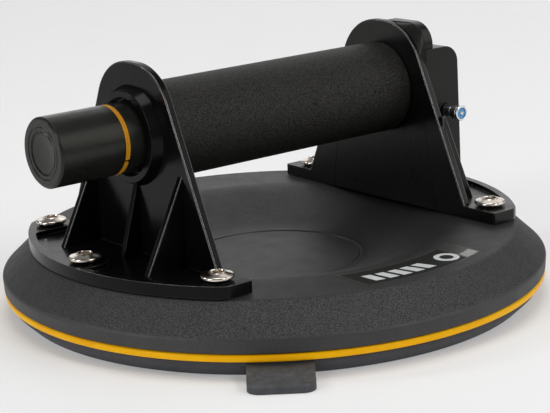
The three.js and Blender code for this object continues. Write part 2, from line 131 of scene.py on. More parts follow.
VALVE_RIBS = ((-31, 72.2, 60.4), (31, 72.2, 60.4))
COLLAR_FRONT = 62.97
COLLAR_BORE = 13.3
TAB_HALF_WIDTH = 11
TAB_REACH = 111.5
TAB_ANGLE = -128
BAND_BREAK_ANGLE = 118
BAND_BREAK_WIDTH = 1.2
BAR_STARTS = (-104.0, -100.1, -96.2, -92.3, -88.4)
BAR_WIDTH = 2.6
BAR_LEAN = 1.6
RING_MARK_ANGLE = -78.6
RING_MARK_PLACE = 77.3


# -------------------- outlines

def rounded(corners, steps=6, closed=True):
    """A polyline with its corners rounded. Each corner is (a, b) or (a, b, radius)."""
    made = []
    count = len(corners)
    for i, corner in enumerate(corners):
        here = Vector(corner[:2])
        radius = corner[2] if len(corner) > 2 else 0
        at_end = not closed and i in (0, count - 1)
        if radius <= 0 or at_end:
            made.append(here)
            continue
        to_last = (Vector(corners[i - 1][:2]) - here).normalized()
        to_next = (Vector(corners[(i + 1) % count][:2]) - here).normalized()
        half = to_last.angle(to_next) / 2
        reach = radius / math.tan(half)
        start = here + to_last * reach
        centre = here + (to_last + to_next).normalized() * (radius / math.sin(half))
        first = start - centre
        turn = math.pi - 2 * half
        side = 1 if to_last.cross(to_next) < 0 else -1
        for k in range(steps + 1):
            angle = side * turn * k / steps
            made.append(centre + Matrix.Rotation(angle, 2) @ first)
    return made


def arc(centre, radius, start, end, steps):
    """Points on a circle from one angle to another, in radians."""
    angles = [start + (end - start) * k / steps for k in range(steps + 1)]
    return [Vector((centre[0] + radius * math.cos(a), centre[1] + radius * math.sin(a))) for a in angles]


# -------------------- solids

def to_object(name, bm):
    """A mesh object from a bmesh in millimetres, with its faces turned outwards."""
    bmesh.ops.remove_doubles(bm, verts=bm.verts, dist=1e-5)
    bmesh.ops.recalc_face_normals(bm, faces=bm.faces)
    bmesh.ops.scale(bm, vec=(MM, MM, MM), verts=bm.verts)
    mesh = bpy.data.meshes.new(name)
    bm.to_mesh(mesh)
    bm.free()
    # The second material slot is for rounded edges that shine more than the rest. Their paler colour is part
    # wear and part painted highlight.
    mesh.materials.append(None)
    mesh.materials.append(None)
    made = bpy.data.objects.new(name, mesh)
    bpy.context.scene.collection.objects.link(made)
    return made


def along_z(x, y, z):
    return Vector((x, y, z))


def along_x(x, y, z):
    """Turns +Z into +X, about the pump's axis."""
    return Vector((z, y, AXIS_Z - x))


def along_minus_y(x, y, z):
    """Turns +Z into -Y, from the valve's place on the housing's front."""
    return Vector((VALVE_X + x, HOUSING_FRONT - z, VALVE_Z + y))


def lathe(name, profile, segments=128, place=along_z):
    """A solid of revolution. The (radius, height) profile ends on the axis, or closes on itself."""
    bm = bmesh.new()
    loops = []
    for radius, height in profile:
        if radius < 1e-6:
            loops.append([bm.verts.new(place(0, 0, height))])
            continue
        angles = [2 * math.pi * k / segments for k in range(segments)]
        places = [place(radius * math.cos(a), radius * math.sin(a), height) for a in angles]
        loops.append([bm.verts.new(each) for each in places])
    pairs = list(zip(loops, loops[1:]))
    if profile[0][0] > 1e-6:
        pairs.append((loops[-1], loops[0]))
    for low, high in pairs:
        for k in range(segments):
            after = (k + 1) % segments
            if len(low) == 1 and len(high) == 1:
                continue
            if len(low) == 1:
                bm.faces.new((low[0], high[k], high[after]))
            elif len(high) == 1:
                bm.faces.new((low[k], low[after], high[0]))
            else:
                bm.faces.new((low[k], low[after], high[after], high[k]))
    return to_object(name, bm)


def prism(name, outline, low, high, plane="XY"):
    """An outline raised from low to high along the axis that its plane leaves out."""
    turn = {
        "XY": lambda a, b, c: (a, b, c),
        "YZ": lambda a, b, c: (c, a, b),
        "XZ": lambda a, b, c: (a, c, b),
    }[plane]
    bm = bmesh.new()
    bottom = [bm.verts.new(turn(a, b, low)) for a, b in outline]
    top = [bm.verts.new(turn(a, b, high)) for a, b in outline]
    bm.faces.new(bottom)
    bm.faces.new(top)
    for k in range(len(outline)):
        after = (k + 1) % len(outline)
        bm.faces.new((bottom[k], bottom[after], top[after], top[k]))
    return to_object(name, bm)


def box_solid(name, low, high):
    outline = [(low[0], low[1]), (high[0], low[1]), (high[0], high[1]), (low[0], high[1])]
    return prism(name, outline, low[2], high[2])


def circle(radius, segments=64, centre=(0, 0)):
    return arc(centre, radius, 0, 2 * math.pi, segments)[:-1]


def hexagon(across_flats, turn=0.0):
    radius = across_flats / 2 / math.cos(math.pi / 6)
    return arc((0, 0), radius, turn, turn + 2 * math.pi, 6)[:-1]


def settle(made):
    """Applies a piece's modifiers."""
    graph = bpy.context.evaluated_depsgraph_get()
    mesh = bpy.data.meshes.new_from_object(made.evaluated_get(graph))
    old = made.data
    made.modifiers.clear()
    made.data = mesh
    bpy.data.meshes.remove(old)
    return made


def discard(*objects):
    for each in objects:
        mesh = each.data
        bpy.data.objects.remove(each)
        bpy.data.meshes.remove(mesh)


def combine(first, operation, *others):
    for other in others:
        modifier = first.modifiers.new(operation, "BOOLEAN")
        modifier.operation = operation
        modifier.solver = "EXACT"
        modifier.object = other
    settle(first)
    discard(*others)
    return first


def joined(first, *others):
    return combine(first, "UNION", *others)


def cut(first, *others):
    return combine(first, "DIFFERENCE", *others)


def soften(made, width, segments=3, angle=30, worn=False):
    """Rounds the edges that are sharper than an angle. Worn ones take the second material, which is paler for
    wear and for a painted highlight.
    """
    modifier = made.modifiers.new("soften", "BEVEL")
    modifier.width = width * MM
    modifier.segments = segments
    modifier.limit_method = "ANGLE"
    modifier.angle_limit = math.radians(angle)
    modifier.miter_outer = "MITER_ARC"
    modifier.use_clamp_overlap = True
    if worn:
        modifier.material = 1
    return settle(made)


def smooth(made, angle=32, weighted=True):
    """Smooth shading, with flat faces kept flat and edges sharper than an angle kept sharp."""
    mesh = made.data
    mesh.shade_smooth()
    mesh.set_sharp_from_angle(angle=math.radians(angle))
    if weighted:
        modifier = made.modifiers.new("weighted", "WEIGHTED_NORMAL")
        modifier.keep_sharp = True
        modifier.weight = 80
    return made


def moved(made, matrix):
    made.data.transform(matrix)
    if matrix.determinant() < 0:
        made.data.flip_normals()
    return made


def coloured(made, look, edges=None):
    """Fills both material slots, or drops the second one where no edge needs it."""
    materials = made.data.materials
    materials[0] = look
    if edges:
        materials[1] = edges
    else:
        materials.pop(index=1)
    return made


def fitted(made, body, slot, look, *nodes, edges=None):
    """Gives a finished piece its material and body, and hides the CAD nodes that it stands for. The slot
    argument is not used.
    """
    coloured(made, look, edges)
    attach(made, body)
    if nodes:
        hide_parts(*nodes)
    return made


# -------------------- materials

def new_material(name):
    look = bpy.data.materials.new(name)
    look.use_nodes = True
    tree = look.node_tree
    shader = tree.nodes["Principled BSDF"]
    return look, tree, shader


def add_node(tree, kind, **values):
    """A node with its properties or inputs set by name."""
    node = tree.nodes.new(kind)
    for key, value in values.items():
        if hasattr(node, key):
            setattr(node, key, value)
        else:
            node.inputs[key.replace("_", " ")].default_value = value
    return node


def feed(node, entry, value):
    """Links a socket to a node's input, or sets the input to a value."""
    if isinstance(value, bpy.types.NodeSocket):
        node.id_data.links.new(value, node.inputs[entry])
    else:
        node.inputs[entry].default_value = value


def noise(tree, place, scale, detail=3.0, roughness=0.55):
    node = add_node(tree, "ShaderNodeTexNoise")
    feed(node, "Scale", scale)
    feed(node, "Detail", detail)
    feed(node, "Roughness", roughness)
    feed(node, "Vector", place)
    return node.outputs["Fac"]


def ramp(tree, value, low, high, from_value=0.0, to_value=1.0):
    """Maps a value's range low..high to from_value..to_value."""
    node = add_node(tree, "ShaderNodeMapRange")
    feed(node, "From Min", low)
    feed(node, "From Max", high)
    feed(node, "To Min", from_value)
    feed(node, "To Max", to_value)
    feed(node, "Value", value)
    return node.outputs["Result"]


def mix_colour(tree, share, first, second):
    """Two colours mixed by a share. Either colour may be a socket."""
    node = add_node(tree, "ShaderNodeMix", data_type="RGBA")
    for entry, colour in ((6, first), (7, second)):
        feed(node, entry, colour if isinstance(colour, bpy.types.NodeSocket) else (*colour, 1))
    feed(node, 0, share)
    return node.outputs[2]


def calculate(tree, operation, first, second=0.0):
    node = add_node(tree, "ShaderNodeMath", operation=operation)
    feed(node, 0, first)
    feed(node, 1, second)
    return node.outputs[0]


def object_place(tree):
    """Places in the object's own frame, in metres."""
    return add_node(tree, "ShaderNodeTexCoord").outputs["Object"]


def bump(tree, shader, height, depth, after=None):
    """Adds relief of a depth in millimetres."""
    node = add_node(tree, "ShaderNodeBump")
    feed(node, "Distance", depth * MM)
    feed(node, "Height", height)
    if after is not None:
        feed(node, "Normal", after)
    feed(shader, "Normal", node.outputs["Normal"])
    return node.outputs["Normal"]


def specks(tree, place, spacing, size, share):
    """Small round specks, 0 or 1, as dust or pigment grains. spacing and size in millimetres."""
    cells = add_node(tree, "ShaderNodeTexVoronoi", feature="F1")
    feed(cells, "Scale", 1 / (spacing * MM))
    feed(cells, "Randomness", 1.0)
    feed(cells, "Vector", place)
    near = calculate(tree, "LESS_THAN", cells.outputs["Distance"], size / spacing / 2)
    parts = add_node(tree, "ShaderNodeSeparateColor")
    feed(parts, "Color", cells.outputs["Color"])
    chosen = calculate(tree, "LESS_THAN", parts.outputs["Red"], share)
    return calculate(tree, "MULTIPLY", near, chosen)


def radius_of(tree, place):
    """Distance from the Z axis, in metres."""
    parts = add_node(tree, "ShaderNodeSeparateXYZ")
    feed(parts, "Vector", place)
    flat = add_node(tree, "ShaderNodeCombineXYZ")
    feed(flat, "X", parts.outputs["X"])
    feed(flat, "Y", parts.outputs["Y"])
    length = add_node(tree, "ShaderNodeVectorMath", operation="LENGTH")
    feed(length, 0, flat.outputs["Vector"])
    return length.outputs["Value"], parts


def plastic(
    name, dark, light, roughness, rough_spread, grain, grain_depth, dust=0.0, specular=0.5, tint=(1, 1, 1)
):
    """Moulded plastic: cloudy colour, uneven gloss, a fine grain and a few pale dust specks."""
    look, tree, shader = new_material(name)
    place = object_place(tree)
    clouds = noise(tree, place, 45, 4)
    fine = noise(tree, place, grain, 2, 0.6)
    shade = mix_colour(tree, ramp(tree, clouds, 0.35, 0.65), dark, light)
    if dust:
        dots = specks(tree, place, 3.1, 0.22, dust)
        shade = mix_colour(tree, dots, shade, (0.30, 0.28, 0.24))
    feed(shader, "Base Color", shade)
    gloss = noise(tree, place, 160, 3)
    feed(shader, "Roughness", ramp(tree, gloss, 0.3, 0.7, roughness - rough_spread, roughness + rough_spread))
    feed(shader, "Specular IOR Level", specular)
    feed(shader, "Specular Tint", (*tint, 1))
    bump(tree, shader, fine, grain_depth)
    return look


def disc_plastic():
    """Black plastic with a sandy grain, strongest on the sloping band outside the crest."""
    look, tree, shader = new_material("grained_plastic")
    place = object_place(tree)
    radius, parts = radius_of(tree, place)
    outside = ramp(tree, radius, (CREST_RADIUS - 3) * MM, (CREST_RADIUS + 0.5) * MM)
    on_top = ramp(tree, parts.outputs["Z"], (RIM_TOP - 0.6) * MM, (RIM_TOP + 0.4) * MM, 0, 1)
    share = calculate(tree, "MULTIPLY", ramp(tree, outside, 0, 1, 0.65, 1), on_top)
    sand = noise(tree, place, 3100, 3, 0.7)
    fine = noise(tree, place, 4200, 2, 0.6)
    clouds = noise(tree, place, 26, 5)
    cloudy = ramp(tree, clouds, 0.35, 0.65)
    shade = mix_colour(tree, cloudy, (0.0040, 0.0042, 0.0045), (0.0065, 0.0067, 0.0070))
    sandy = ramp(tree, sand, 0.42, 0.66)
    sandy_shade = mix_colour(tree, sandy, (0.0026, 0.0027, 0.0028), (0.0180, 0.0182, 0.0176))
    shade = mix_colour(tree, share, shade, sandy_shade)
    dots = specks(tree, place, 4.0, 0.26, 0.08)
    shade = mix_colour(tree, dots, shade, (0.20, 0.19, 0.16))
    feed(shader, "Base Color", shade)
    gloss = noise(tree, place, 120, 3)
    feed(shader, "Roughness", ramp(tree, gloss, 0.3, 0.7, 0.50, 0.58))
    sheen = ramp(tree, fine, 0.35, 0.65, 0.65, 0.95)
    sheen = mix_colour(tree, share, sheen, ramp(tree, sand, 0.40, 0.64, 0.28, 1.32))
    feed(shader, "Specular IOR Level", sheen)
    first = bump(tree, shader, fine, 0.04)
    bump(tree, shader, calculate(tree, "MULTIPLY", sand, share), 0.16, after=first)
    return look


def rubber(name, dark, light, roughness=0.62, worn_from=None):
    """Moulded rubber: dull, with a faint bloom, rubbed streaks and a fine grain, paler past a radius, with a
    painted brown reflection of the amber ring at that radius.
    """
    look, tree, shader = new_material(name)
    place = object_place(tree)
    bloom = noise(tree, place, 70, 5, 0.65)
    shade = mix_colour(tree, ramp(tree, bloom, 0.38, 0.7), dark, light)
    scuffs = ramp(tree, noise(tree, place, 420, 4, 0.75), 0.60, 0.74)
    shade = mix_colour(tree, calculate(tree, "MULTIPLY", scuffs, 0.35), shade, (0.085, 0.087, 0.090))
    if worn_from:
        radius, parts = radius_of(tree, place)
        worn = ramp(tree, radius, worn_from * MM, (worn_from + 1) * MM)
        worn = calculate(tree, "MULTIPLY", worn, ramp(tree, parts.outputs["Z"], 1.9 * MM, 2.7 * MM, 0.3, 1))
        patches = ramp(tree, noise(tree, place, 300, 5, 0.8), 0.3, 0.7)
        rubbed = mix_colour(tree, patches, (0.042, 0.0445, 0.050), (0.118, 0.122, 0.126))
        # Painted reflection: the amber ring's brown glow on the rubbed tab, strongest next to the ring.
        ring_reflection_share = ramp(tree, radius, (worn_from + 3.5) * MM, worn_from * MM, 0, 0.6)
        rubbed = mix_colour(tree, ring_reflection_share, rubbed, (0.070, 0.058, 0.034))
        shade = mix_colour(tree, worn, shade, rubbed)
    feed(shader, "Base Color", shade)
    feed(shader, "Roughness", ramp(tree, bloom, 0.3, 0.7, roughness - 0.06, roughness + 0.08))
    feed(shader, "Specular IOR Level", 0.4)
    bump(tree, shader, noise(tree, place, 2600, 2, 0.6), 0.035)
    return look


def grip_plastic():
    """Spark-eroded grain, a dark colour with a fine sparkle."""
    look, tree, shader = new_material("grip_plastic")
    place = object_place(tree)
    grain = noise(tree, place, 2500, 3, 0.7)
    clouds = noise(tree, place, 60, 3)
    cloudy = ramp(tree, clouds, 0.35, 0.65)
    shade = mix_colour(tree, cloudy, (0.0028, 0.0027, 0.0021), (0.0044, 0.0042, 0.0033))
    shade = mix_colour(tree, ramp(tree, grain, 0.52, 0.70), shade, (0.013, 0.0122, 0.0098))
    dots = specks(tree, place, 2.6, 0.24, 0.05)
    shade = mix_colour(tree, dots, shade, (0.16, 0.14, 0.11))
    feed(shader, "Base Color", shade)
    feed(shader, "Roughness", ramp(tree, grain, 0.3, 0.7, 0.42, 0.66))
    feed(shader, "Specular IOR Level", ramp(tree, grain, 0.38, 0.66, 0.06, 0.80))
    feed(shader, "Specular Tint", (1, 0.99, 0.90, 1))
    bump(tree, shader, grain, 0.24)
    return look


def amber(name, light, deep, roughness=0.32):
    """Amber plastic in two uneven shades, which lets a little light through."""
    look, tree, shader = new_material(name)
    place = object_place(tree)
    clouds = noise(tree, place, 90, 4)
    feed(shader, "Base Color", mix_colour(tree, ramp(tree, clouds, 0.3, 0.7), light, deep))
    gloss = noise(tree, place, 700, 2)
    feed(shader, "Roughness", ramp(tree, gloss, 0.3, 0.7, roughness - 0.05, roughness + 0.08))
    feed(shader, "Specular IOR Level", 0.12)
    feed(shader, "Subsurface Weight", 0.12)
    feed(shader, "Subsurface Radius", (0.0012, 0.0006, 0.0002))
    feed(shader, "Subsurface Scale", 0.5)
    bump(tree, shader, noise(tree, place, 500, 2), 0.02)
    return look


def metal(name, bright, dull, roughness, brushed=0.0):
    """Plated or plain metal: warm and cool patches, polishing marks and a slight orange peel."""
    look, tree, shader = new_material(name)
    place = object_place(tree)
    patches = noise(tree, place, 220, 4)
    feed(shader, "Base Color", mix_colour(tree, ramp(tree, patches, 0.35, 0.68), bright, dull))
    feed(shader, "Metallic", 1.0)
    wear = noise(tree, place, 1400, 3, 0.7)
    feed(shader, "Roughness", ramp(tree, wear, 0.3, 0.75, roughness * 0.7, roughness * 1.5))
    first = bump(tree, shader, noise(tree, place, 600, 2), 0.005)
    if brushed:
        stretched = add_node(tree, "ShaderNodeMapping")
        feed(stretched, "Scale", (1, 1, brushed))
        feed(stretched, "Vector", place)
        bump(tree, shader, noise(tree, stretched.outputs["Vector"], 400, 3), 0.01, after=first)
    return look


def label_film():
    """A dark printed film with a fine speckle."""
    look, tree, shader = new_material("label_film")
    place = object_place(tree)
    speckle = noise(tree, place, 1500, 3, 0.75)
    speckled = ramp(tree, speckle, 0.40, 0.66)
    shade = mix_colour(tree, speckled, (0.0045, 0.0048, 0.0036), (0.016, 0.016, 0.0130))
    feed(shader, "Base Color", shade)
    feed(shader, "Roughness", 0.6)
    feed(shader, "Specular IOR Level", 0.25)
    bump(tree, shader, speckle, 0.05)
    return look


def printed(name, light, dark):
    """Screen-printed ink, a little uneven."""
    look, tree, shader = new_material(name)
    place = object_place(tree)
    patches = noise(tree, place, 900, 3)
    feed(shader, "Base Color", mix_colour(tree, ramp(tree, patches, 0.3, 0.7), light, dark))
    feed(shader, "Roughness", 0.5)
    bump(tree, shader, patches, 0.01)
    return look


MATERIALS = (
    disc_plastic(),
    plastic(
        "bracket_plastic", (0.0022, 0.0023, 0.0024), (0.0040, 0.0041, 0.0042), 0.19, 0.05, 900, 0.010,
        dust=0.035, specular=0.115
    ),
    # Edge material: scuffed, and paler than the body as a painted highlight along the edges.
    plastic(
        "worn_and_highlit_edge", (0.006, 0.006, 0.0056), (0.040, 0.039, 0.036), 0.26, 0.05, 1500, 0.02, specular=1.0
    ),
    plastic(
        "housing_plastic", (0.0024, 0.0025, 0.0026), (0.0042, 0.0043, 0.0044), 0.31, 0.06, 1300, 0.02,
        dust=0.035, specular=0.26, tint=(1, 1, 0.95)
    ),
    plastic(
        "plunger_plastic", (0.0085, 0.0085, 0.0076), (0.0120, 0.0118, 0.0104), 0.29, 0.05, 700, 0.008,
        dust=0.03, specular=0.28, tint=(1, 0.99, 0.90)
    ),
    grip_plastic(),
    rubber("pad_rubber", (0.035, 0.0360, 0.0425), (0.053, 0.0545, 0.0635), worn_from=98.4),
    rubber("seal_rubber", (0.014, 0.014, 0.015), (0.022, 0.022, 0.023), 0.5),
    amber("amber_ring", (0.95, 0.50, 0.0), (0.88, 0.42, 0.0), 0.35),
    amber("amber_band", (0.66, 0.31, 0.015), (0.54, 0.23, 0.01)),
    metal("nickel", (0.80, 0.73, 0.66), (0.60, 0.53, 0.47), 0.17),
    metal("valve_nickel", (0.80, 0.82, 0.84), (0.62, 0.66, 0.70), 0.26),
    metal("steel", (0.56, 0.57, 0.58), (0.42, 0.43, 0.44), 0.28, 6),
    label_film(),
    plastic("film_edge", (0.030, 0.030, 0.025), (0.042, 0.042, 0.035), 0.40, 0.05, 1400, 0.012),
    printed("print_ink", (0.74, 0.76, 0.77), (0.62, 0.64, 0.65)),
    printed("patch_ink", (0.36, 0.36, 0.34), (0.28, 0.28, 0.26)),
    plastic("blue_plastic", (0.05, 0.28, 0.62), (0.10, 0.38, 0.72), 0.35, 0.06, 900, 0.02),
    plastic("white_plastic", (0.62, 0.61, 0.57), (0.70, 0.69, 0.65), 0.42, 0.05, 1200, 0.02),
    plastic("pin_plastic", (0.66, 0.66, 0.64), (0.76, 0.76, 0.74), 0.35, 0.05, 900, 0.02),
)
# Blender numbers a name that a CAD material already has, so the keys leave the number out.
LOOKS = {look.name.split(".")[0]: look for look in MATERIALS}


# -------------------- disc, pad, ring

def dish_surface(radius):
    """Height of the disc's upper face between its flat middle and the flat annulus."""
    share = (radius - DISH_RADIUS) / (FLAT_INNER_RADIUS - DISH_RADIUS)
    return DISH_Z + (CREST_Z - DISH_Z) * (1 - math.cos(math.pi * share)) / 2


def dish_points(drop, steps):
    radii = [DISH_RADIUS + (FLAT_INNER_RADIUS - DISH_RADIUS) * k / steps for k in range(steps + 1)]
    return [(r, dish_surface(r) - drop) for r in radii]


def bolt_places(bracket):
    """The centres of a bracket's three bolts, as the CAD model has them."""
    places = {}
    for place in ("front", "middle", "rear"):
        low, high = span(f"{bracket}_bolt_{place}")
        places[place] = (low + high) / 2
    return places


def bolt_holes(bracket, radius=BOLT_HOLE):
    return [
        prism(f"hole_{bracket}_{name}", circle(radius, 48, (place.x, place.y)), 5, 40)
        for name, place in bolt_places(bracket).items()
    ]


def airway_hole(radius=3.4, low=0, high=40):
    return prism("airway", circle(radius, 48, (AIRWAY_X, 0)), low, high)


def build_disc():
    rim = rounded(
        [
            (96.2, 12.6),
            (96.2, DISC_LOW.z, 0.3),
            (DISC_RADIUS - 0.25, DISC_LOW.z, 0.5),
            (DISC_RADIUS, RIM_TOP - 0.45, 1.6),
            (CREST_RADIUS + 0.2, CREST_Z, 2.6),
            (FLAT_INNER_RADIUS, CREST_Z),
        ],
        steps=8,
        closed=False,
    )
    ring_mark = [
        (DISH_RADIUS - 0.1, DISH_Z + 0.22),
        (DISH_RADIUS - 0.35, DISH_Z + 0.26),
        (DISH_RADIUS - 0.55, DISH_Z + 0.16),
        (DISH_RADIUS - 0.68, DISH_Z - 0.25),
        (DISH_RADIUS - 0.85, DISH_Z - 0.42),
        (DISH_RADIUS - 1.1, DISH_Z - 0.42),
        (DISH_RADIUS - 1.25, DISH_Z - 0.12),
        (DISH_RADIUS - 1.45, DISH_Z),
    ]
    inner = [(0, DISH_Z - DISC_WALL), *dish_points(DISC_WALL, 24), (86.8, CREST_Z - DISC_WALL)]
    dish = [(r, z) for r, z in reversed(dish_points(0, 48)) if r > DISH_RADIUS + 0.8]
    profile = inner + rim + dish + ring_mark + [(20, DISH_Z), (0, DISH_Z)]
    disc = lathe("disc", profile, 288)
    gate = lathe("gate", [(0, 0), (0.9, 0), (0.9, 0.12), (0, 0.16)], 24)
    moved(gate, Matrix.Translation(Vector((10.5, -30.2, DISH_Z - 0.02)) * MM))
    seat = airway_hole(6.3, CREST_Z - 1.2, 40)
    joined(disc, gate)
    cut(disc, airway_hole(), seat, *bolt_holes("pump"), *bolt_holes("valve"))
    smooth(disc, 40)
    return fitted(disc, "root", "grained_plastic", LOOKS["grained_plastic"], "backing_disc")


def build_ring():
    low, high = RING_LOW.z, RING_HIGH.z
    outer = RING_HIGH.x
    profile = rounded([(96.6, low), (outer, low, 1.0), (outer, high, 1.0), (96.6, high)], steps=8)
    made = smooth(lathe("ring", profile, 288), 50)
    return fitted(made, "root", "amber_plastic", LOOKS["amber_ring"], "accent_ring")


def build_pad():
    lip = rounded(
        [
            (0, 7),
            (70, 7, 1),
            (72, 6.2, 0.6),
            (74, 7, 0.6),
            (77, 6.6, 1),
            (83, 4, 2),
            (86.5, 0, 0.4),
            (93.3, 0, 0.7),
            (97.6, 4.2, 1.2),
            (97.9, 5.95, 0.35),
            (96.3, 5.95),
            (96.3, PAD_TOP),
            (92.5, 10),
            (0, 10),
        ],
        steps=6,
        closed=False,
    )
    pad = lathe("pad", lip, 288)
    cut(pad, airway_hole())
    # The pull tab, with its own rounded plan and edges.
    half, reach = TAB_HALF_WIDTH, TAB_REACH
    side = rounded([(90, 0), (reach, 0), (reach, 2.8), (102.2, 3.0, 9), (96.9, 5.9), (90, 5.9)], 8)
    tab = prism("tab", side, -half, half, "XZ")
    plan = rounded([(89, -half), (reach, -half, 4.2), (reach, half, 4.2), (89, half)], 8)
    combine(tab, "INTERSECT", prism("plan", plan, -1, 8))
    soften(tab, 0.5, 3, 50)
    moved(tab, Matrix.Rotation(math.radians(TAB_ANGLE), 4, "Z"))
    joined(pad, tab)
    smooth(pad, 40)
    return fitted(pad, "root", "pad_rubber", LOOKS["pad_rubber"], "sealing_pad")


# -------------------- label

def label_strip(name, inner, outer, left, right, low, high):
    """A strip of the annulus between two radii, cut off square at both ends."""
    def end_angle(x, radius):
        return -math.acos(x / radius)

    outer_arc = arc((0, 0), outer, end_angle(left, outer), end_angle(right, outer), 40)
    inner_arc = arc((0, 0), inner, end_angle(right, inner), end_angle(left, inner), 40)
    made = prism(name, outer_arc + inner_arc, low, high)
    return soften(made, 0.04, 1, 60)


def build_label():
    low = CREST_Z + 0.02
    film = label_strip("label_film_edge", 68.4, 84.0, -25.2, 28.4, low, low + 0.06)
    fitted(smooth(film), "root", "label_film", LOOKS["film_edge"], "blank_label")
    strip = label_strip("label_strip", 69.4, 83.3, -24.1, 19.6, low + 0.03, low + 0.09)
    fitted(smooth(strip), "root", "label_film", LOOKS["label_film"])
    patch = label_strip("label_patch", 79.0, 83.3, 20.6, 27.6, low + 0.03, low + 0.09)
    fitted(smooth(patch), "root", "label_film", LOOKS["patch_ink"])
    # Plain slanted bars and a plain ring, in place of lettering.
    marks = []
    lean = math.radians(BAR_LEAN)
    wide = math.radians(BAR_WIDTH)
    for start in BAR_STARTS:
        turn = math.radians(start)
        outline = [
            Vector((r * math.cos(turn + a), r * math.sin(turn + a)))
            for r, a in ((80.8, 0), (80.8, wide), (74.0, wide - lean), (74.0, -lean))
        ]
        marks.append(prism("mark", outline, low + 0.07, low + 0.13))
    centre = math.radians(RING_MARK_ANGLE)
    middle = (RING_MARK_PLACE * math.cos(centre), RING_MARK_PLACE * math.sin(centre))
    ring = prism("mark", circle(4.5, 48, middle), low + 0.07, low + 0.13)
    cut(ring, prism("hollow", circle(2.5, 48, middle), low, low + 1))
    marks.append(ring)
    made = joined(marks[0], *marks[1:])
    made.name = "label_marks"
    return fitted(smooth(made), "root", "label_film", LOOKS["print_ink"])


# -------------------- brackets

def base_outline(inner_face):
    """The base plate from above: a segment of a circle, cut off square at both ends."""
    end_x = math.sqrt(BASE_RADIUS ** 2 - BASE_HALF_WIDTH ** 2)
    turn = math.atan2(BASE_HALF_WIDTH, end_x) * 0.97
    curve = arc((0, 0), BASE_RADIUS, -turn, turn, 64)
    corners = [(inner_face, -BASE_HALF_WIDTH, 0.8), (end_x - 1.2, -BASE_HALF_WIDTH, 2.4)]
    corners += [(p.x, p.y) for p in curve]
    corners += [(end_x - 1.2, BASE_HALF_WIDTH, 2.4), (inner_face, BASE_HALF_WIDTH, 0.8)]
    return rounded(corners, 6)


def pocket_outline(outer_face):
    turn = math.asin(POCKET_HALF_WIDTH / LIP_RADIUS)
    curve = arc((0, 0), LIP_RADIUS, -turn * 0.93, turn * 0.93, 48)
    lip_x = LIP_RADIUS * math.cos(turn)
    corners = [(outer_face, -POCKET_HALF_WIDTH), (lip_x, -POCKET_HALF_WIDTH, 3)]
    corners += [(p.x, p.y) for p in curve]
    corners += [(lip_x, POCKET_HALF_WIDTH, 3), (outer_face, POCKET_HALF_WIDTH)]
    return rounded(corners, 6)


def ear_outline():
    """The ear from the front: straight flanks that lean in to a round top with full shoulders."""
    top_z = EAR_TOP - EAR_RADIUS
    drop = top_z - BASE_TOP
    flank = math.acos(EAR_RADIUS / math.hypot(EAR_HALF_WIDTH, drop)) - math.atan2(drop, EAR_HALF_WIDTH)
    shoulder = EAR_HALF_WIDTH - (EAR_TOP - BASE_TOP) * math.tan(flank)
    return rounded(
        [
            (-EAR_HALF_WIDTH, BASE_BOTTOM + 0.6),
            (EAR_HALF_WIDTH, BASE_BOTTOM + 0.6),
            (EAR_HALF_WIDTH, BASE_TOP),
            (shoulder, EAR_TOP, EAR_SHOULDER_RADIUS),
            (-shoulder, EAR_TOP, EAR_SHOULDER_RADIUS),
            (-EAR_HALF_WIDTH, BASE_TOP),
        ],
        32,
    )


def rib(y, outer_face, foot, top):
    """A rib between the base and the ear. The middle one, under the plunger, lies in its shade, so it keeps
    plain edges without the painted highlight and wear.
    """
    outline = [
        (outer_face - 1.5, BASE_BOTTOM + 1),
        (foot, BASE_BOTTOM + 1),
        (foot, BASE_TOP - POCKET_DEPTH),
        (outer_face, top),
        (outer_face - 1.5, top),
    ]
    made = prism("rib", outline, y - RIB_THICKNESS / 2, y + RIB_THICKNESS / 2, "XZ")
    # Painted shade: the middle rib, at y = 0, gets no paler edge material.
    return soften(made, 0.4, 4, worn=y != 0)


def bracket_frame(name, inner_face, ribs):
    """Base plate with its sunk floor, ear and ribs, built towards +X."""
    outer_face = inner_face + EAR_THICKNESS
    base = prism(name, base_outline(inner_face), BASE_BOTTOM, BASE_TOP)
    pocket = prism("pocket", pocket_outline(outer_face), BASE_TOP - POCKET_DEPTH, BASE_TOP + 2)
    boss = prism("boss", circle(BOSS_RADIUS, 64, (bolt_places("valve")["middle"].x, 0)), 0, 40)
    cut(base, cut(pocket, boss))
    soften(base, 0.45, 4, 35, worn=True)
    ear = prism("ear", ear_outline(), inner_face, outer_face, "YZ")
    soften(ear, 0.5, 4, 35, worn=True)
    webs = [rib(y, outer_face, foot, top) for y, foot, top in ribs]
    return joined(base, ear, *webs)


def build_pump_bracket():
    outer_face = PUMP_EAR_INNER + EAR_THICKNESS
    frame_solid = bracket_frame("pump_side_bracket", PUMP_EAR_INNER, PUMP_RIBS)
    collar_profile = rounded(
        [
            (0, outer_face - 1),
            (18.0, outer_face - 1),
            (16.1, COLLAR_FRONT, 0.45),
            (COLLAR_BORE + 0.5, COLLAR_FRONT, 0.15),
            (COLLAR_BORE, COLLAR_FRONT - 0.5, 0.15),
            (COLLAR_BORE, COLLAR_FRONT - 1.5),
            (0, COLLAR_FRONT - 1.5),
        ],
        steps=5,
        closed=False,
    )
    collar = lathe("collar", collar_profile, 96, along_x)
    joined(frame_solid, collar)
    bore = lathe("bore", [(0, 50), (COLLAR_BORE, 50), (COLLAR_BORE, 80), (0, 80)], 96, along_x)
    seat = lathe("bush_seat", [(0, 50), (15, 50), (15, 60.5), (0, 60.5)], 96, along_x)
    # The bracket is built towards +X, so the holes are cut once it has been turned round.
    cut(frame_solid, bore, seat)
    moved(frame_solid, Matrix.Rotation(math.pi, 4, "Z"))
    cut(frame_solid, *bolt_holes("pump"))
    smooth(frame_solid, 28)
    look, edges = LOOKS["bracket_plastic"], LOOKS["worn_and_highlit_edge"]
    return fitted(frame_solid, "root", "bracket_plastic", look, "pump_bracket", edges=edges)


